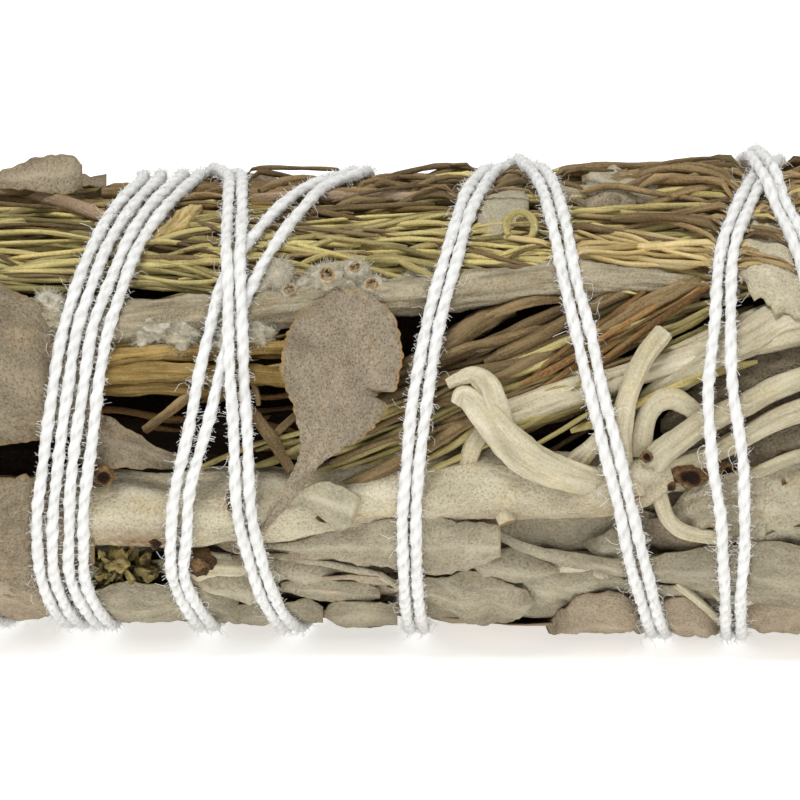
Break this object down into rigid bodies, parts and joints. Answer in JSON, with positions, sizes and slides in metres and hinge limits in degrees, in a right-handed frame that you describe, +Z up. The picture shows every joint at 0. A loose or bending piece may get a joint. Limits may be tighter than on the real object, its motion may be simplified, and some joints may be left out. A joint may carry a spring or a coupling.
{
  "type": "dried herb bundle",
  "caption": "Dried sage bunch lying on its side: felted stems, leaves and thin green twigs wound round with a doubled cotton string.",
  "frame": {"origin": "under the middle of the bunch, on the surface that it lies on", "axes": "+X along the bunch from the cut stems to the leaf tips, +Z up, -Y towards the side that the picture shows"},
  "size_m": [0.1514, 0.0407, 0.0393],
  "materials": {
    "cotton": "natural white cotton",
    "sage_leaf": "dry, felted, matte",
    "brown_leaf": "dry, withered, matte",
    "sage_stem": "felted bark, matte",
    "dry_twig": "dry bark, matte",
    "green_stem": "dry green stems"
  },
  "bodies": {
    "root": {"cotton_string": "cotton", "leaf_shred": "sage_leaf", "leaf_spear": "sage_leaf", "leaf_oval": "sage_leaf", "leaf_ribbed": "sage_leaf", "leaf_pale_under": "sage_leaf", "leaf_folded": "sage_leaf", "leaf_grey_left": "sage_leaf", "leaf_low_left": "sage_leaf", "leaf_torn_right": "sage_leaf", "leaf_scrap_top": "sage_leaf", "sage_leaves": "sage_leaf", "leaf_fan": "brown_leaf", "leaf_broad_left": "brown_leaf", "leaf_tucked": "brown_leaf", "sage_stem_main": "sage_stem", "sage_stem_back": "sage_stem", "sage_stem_low": "sage_stem", "sage_stem_low_back": "sage_stem", "sage_stem_high_back": "sage_stem", "sage_stem_high": "sage_stem", "sage_stem_middle": "sage_stem", "gall_twig": "dry_twig", "red_twig": "dry_twig", "top_twig_rosy": "dry_twig", "wiry_stems": "dry_twig", "straw_rod": "dry_twig", "straw_rod_lower": "dry_twig", "green_spray_front": "green_stem", "green_spray_top": "green_stem", "green_spray_back": "green_stem"}
  },
  "joints": []
}
